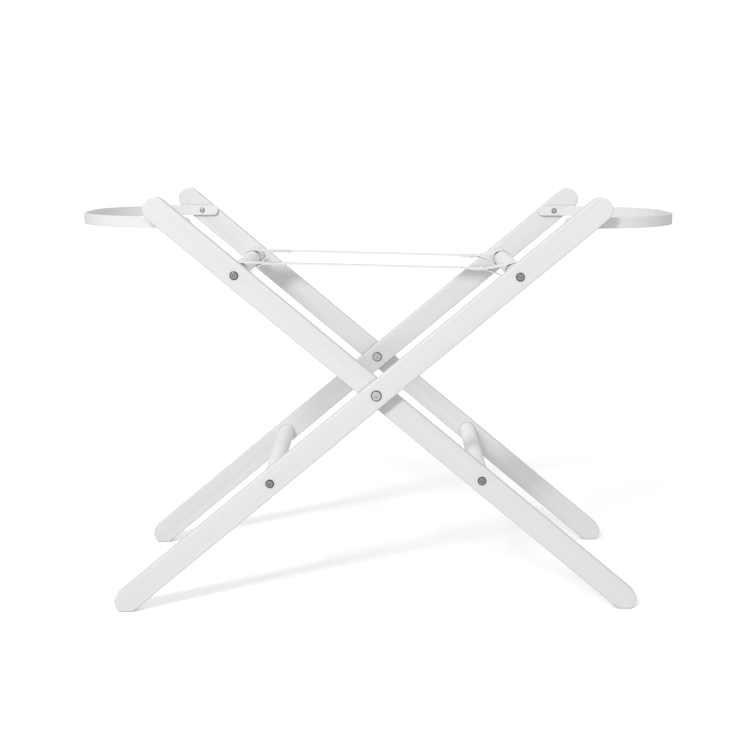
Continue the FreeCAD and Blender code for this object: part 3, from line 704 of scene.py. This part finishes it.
woven = put(tree, "Math", "MULTIPLY_ADD", in_0=fibre.outputs[0], in_1=0.7, in_2=threads.outputs[0])
gap = put(tree, "MapRange", Value=woven.outputs[0], From_Min=0.6, From_Max=-1.0)
soiled = use(tree, dust, Amount=0.15, Patch_Scale=40.0)
# painted shade: the web goes darker where its layers meet and wrap round the bars
layer_shade = use(tree, occlusion_shade, Reach=0.005, Amount=0.85)
cotton = tinted(tree, WEB_WHITE, WEB_SHADE, gap.outputs[0])
shaded = tinted(tree, cotton, WEB_LAYER_SHADE, layer_shade.outputs["Mask"])
final = tinted(tree, shaded, DUST_GREY, soiled.outputs["Mask"])
tree.links.new(final, shader.inputs["Base Color"])
rough = put(tree, "MapRange", Value=fibre.outputs[0], To_Min=0.78, To_Max=0.95)
tree.links.new(rough.outputs[0], shader.inputs["Roughness"])
shader.inputs["Sheen Weight"].default_value = 0.35
shader.inputs["Sheen Roughness"].default_value = 0.5
relief(tree, shader, woven.outputs[0], 0.00012, 0.9)
for strap in (front_strap, rear_strap):
    strap.data.materials.clear()
    strap.data.materials.append(web_cloth)
print("web cloth:", len(tree.nodes), "nodes")

# %% [markdown]
# ## Sewing
# Each sewn end is held by a box of stitches with a cross in it. One stitch is a short thread that dips
# into the web at both ends. It is modelled once and copied along the six lines of the box, on both faces.

# %% One stitch
STITCH = 0.0026
THREAD = 0.00028

bpy.ops.object.select_all(action="DESELECT")
bpy.ops.mesh.primitive_cylinder_add(vertices=8, radius=THREAD, depth=STITCH * 0.5, location=(0, 0, 0),
                                    rotation=(0, math.pi / 2, 0))
stitch = bpy.context.object
bpy.ops.object.transform_apply(location=True, rotation=True, scale=True)
bpy.context.tool_settings.mesh_select_mode = (False, False, True)
for side in (-1, 1):
    bpy.ops.object.mode_set(mode="EDIT")
    bpy.ops.mesh.select_all(action="DESELECT")
    bpy.ops.object.mode_set(mode="OBJECT")
    for face in stitch.data.polygons:
        face.select = face.normal.x * side > 0.9
    bpy.ops.object.mode_set(mode="EDIT")
    dip = {"value": (side * STITCH * 0.22, 0, -THREAD * 0.9)}
    bpy.ops.mesh.extrude_region_move(TRANSFORM_OT_translate=dip)
    bpy.ops.transform.resize(value=(1, 0.75, 0.75))
    bpy.ops.object.mode_set(mode="OBJECT")
bpy.ops.object.shade_smooth_by_angle(angle=math.radians(60))
print("a stitch has", len(stitch.data.polygons), "faces")

# %% Lay the stitches
BOX_START = 0.005
BOX_END = 0.026
BOX_HALF = 0.0090


def seam_lines():
    """The box and its cross, as pairs of (along, across)."""
    a, b, h = BOX_START, BOX_END, BOX_HALF
    return [((a, -h), (b, -h)), ((b, -h), (b, h)), ((b, h), (a, h)), ((a, h), (a, -h)),
            ((a, -h), (b, h)), ((a, h), (b, -h))]


def sew(name, depth):
    laid = []
    for facing in (1, -1):
        lift = web_up * facing * (WEB_STEP / 2 + WEB_THICK / 2 + THREAD * 0.15)
        for (a0, c0), (a1, c1) in seam_lines():
            start = sewn_point + web_way * a0 + Vector((0, depth + c0, 0)) + lift
            end = sewn_point + web_way * a1 + Vector((0, depth + c1, 0)) + lift
            count = round((end - start).length / (STITCH * 1.18))
            way = (end - start).normalized()
            up = web_up * facing
            turn = Matrix((way, up.cross(way), up)).transposed().to_4x4()
            for step in range(count):
                spot = start.lerp(end, (step + 0.5) / count)
                laid.append(own_copy(stitch, name, (0, 0, 0)))
                laid[-1].data.transform(Matrix.Translation(spot) @ turn)
    bpy.ops.object.select_all(action="DESELECT")
    for piece in laid:
        piece.select_set(True)
    bpy.context.view_layer.objects.active = laid[0]
    bpy.ops.object.join()
    laid[0].name = name
    print(name, "has", len(laid), "stitches")
    return laid[0]


front_sewing = sew("front_strap_stitching", front_depth)
rear_sewing = sew("rear_strap_stitching", rear_depth)
bpy.data.objects.remove(stitch)

# %% Thread material
thread, tree, shader = new_material("stitch_thread")
place = put(tree, "TexCoord")
twist = put(tree, "TexWave", Vector=place.outputs["Object"], Scale=1500.0, Distortion=2.0)
fuzz = put(tree, "TexNoise", Vector=place.outputs["Object"], Scale=6000.0, Detail=2.0)
plies = tinted(tree, (0.46, 0.46, 0.45), (0.30, 0.30, 0.29), twist.outputs["Fac"])
dusty = use(tree, dust, Amount=0.15, Patch_Scale=60.0)
tree.links.new(tinted(tree, plies, DUST_GREY, dusty.outputs["Mask"]), shader.inputs["Base Color"])
rough = put(tree, "MapRange", Value=fuzz.outputs[0], To_Min=0.55, To_Max=0.8)
tree.links.new(rough.outputs[0], shader.inputs["Roughness"])
relief(tree, shader, twist.outputs["Fac"], 0.00006, 0.7)
for sewing in (front_sewing, rear_sewing):
    sewing.data.materials.clear()
    sewing.data.materials.append(thread)
print("thread:", len(tree.nodes), "nodes")

# %% [markdown]
# ## Press studs
# The stud's cap is a ring with a rivet dot in the middle, and its base is a flat socket under the web.
# Both start as a short cylinder. Insets and small extrusions of the round face cut the groove and raise
# the dot, and a bevel takes the sharpness off.

# %% Stud shapes
def face_rings(piece, facing, rings):
    """Insets the flat round end that faces up or down, then moves each new face along the axis."""
    bpy.ops.object.select_all(action="DESELECT")
    piece.select_set(True)
    bpy.context.view_layer.objects.active = piece
    bpy.context.tool_settings.mesh_select_mode = (False, False, True)
    bpy.ops.object.mode_set(mode="EDIT")
    bpy.ops.mesh.select_all(action="DESELECT")
    bpy.ops.object.mode_set(mode="OBJECT")
    for face in piece.data.polygons:
        face.select = face.normal.z * facing > 0.9
    bpy.ops.object.mode_set(mode="EDIT")
    for inset, rise in rings:
        if inset:
            bpy.ops.mesh.inset(thickness=inset, depth=0)
        if rise:
            bpy.ops.mesh.extrude_region_move(TRANSFORM_OT_translate={"value": (0, 0, rise * facing)})
    bpy.ops.object.mode_set(mode="OBJECT")


def button(name, node, facing, rings, bevel):
    """A round button that fills a node's box, shaped on its outer face and leaned to the web's slope."""
    low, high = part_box(node)
    middle = (low + high) / 2
    radius = (high.y - low.y) / 2
    bpy.ops.object.select_all(action="DESELECT")
    bpy.ops.mesh.primitive_cylinder_add(vertices=56, radius=radius, depth=BUTTON_THICK, location=(0, 0, 0))
    piece = bpy.context.object
    piece.name = name
    face_rings(piece, facing, rings)
    rounded = piece.modifiers.new("soft_edges", "BEVEL")
    rounded.width = bevel
    rounded.segments = 3
    rounded.limit_method = "ANGLE"
    rounded.angle_limit = math.radians(30)
    bpy.ops.object.modifier_apply(modifier=rounded.name)
    bpy.ops.object.shade_smooth_by_angle(angle=math.radians(35))
    away = (WEB_STEP / 2 + WEB_THICK / 2 + BUTTON_THICK / 2) * facing
    spot = stud_point - web_way * STUD_BACK + web_up * away
    lean = Matrix((web_way, Vector((0, 1, 0)), web_up)).transposed().to_4x4()
    piece.data.transform(Matrix.Translation((spot.x, middle.y, spot.z)) @ lean)
    piece.data.materials.append(stud_plastic)
    return piece


BUTTON_THICK = 0.0013
CAP_RINGS = [(0.0008, 0.0003), (0.0007, -0.0007), (0.0014, 0), (0.0001, 0.0006)]
BASE_RINGS = [(0.0012, 0.0002), (0.0012, -0.0004)]
studs = []
for row in ("front", "rear"):
    cap, base = f"{row}_strap_stud_cap", f"{row}_strap_stud_base"
    studs.append((button(f"{row}_press_stud_cap", cap, 1, CAP_RINGS, 0.00022), cap))
    studs.append((button(f"{row}_press_stud_base", base, -1, BASE_RINGS, 0.00018), base))
print("studs:", [piece.name for piece, _ in studs])

# %% [markdown]
# ## Riding on the bodies
# The stitches sit at the left end of each strap and move with the left frame of the imported model, and the studs sit
# at the right end and move with the right frame. The straps only have their placement baked into their meshes. The
# packed straps and studs are hidden.

for strap, node in ((front_strap, "front_strap"), (rear_strap, "rear_strap")):
    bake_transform(strap)
    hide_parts(node)
for sewing in (front_sewing, rear_sewing):
    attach(sewing, "left_frame")
for piece, node in studs:
    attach(piece, "right_frame")
    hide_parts(node)
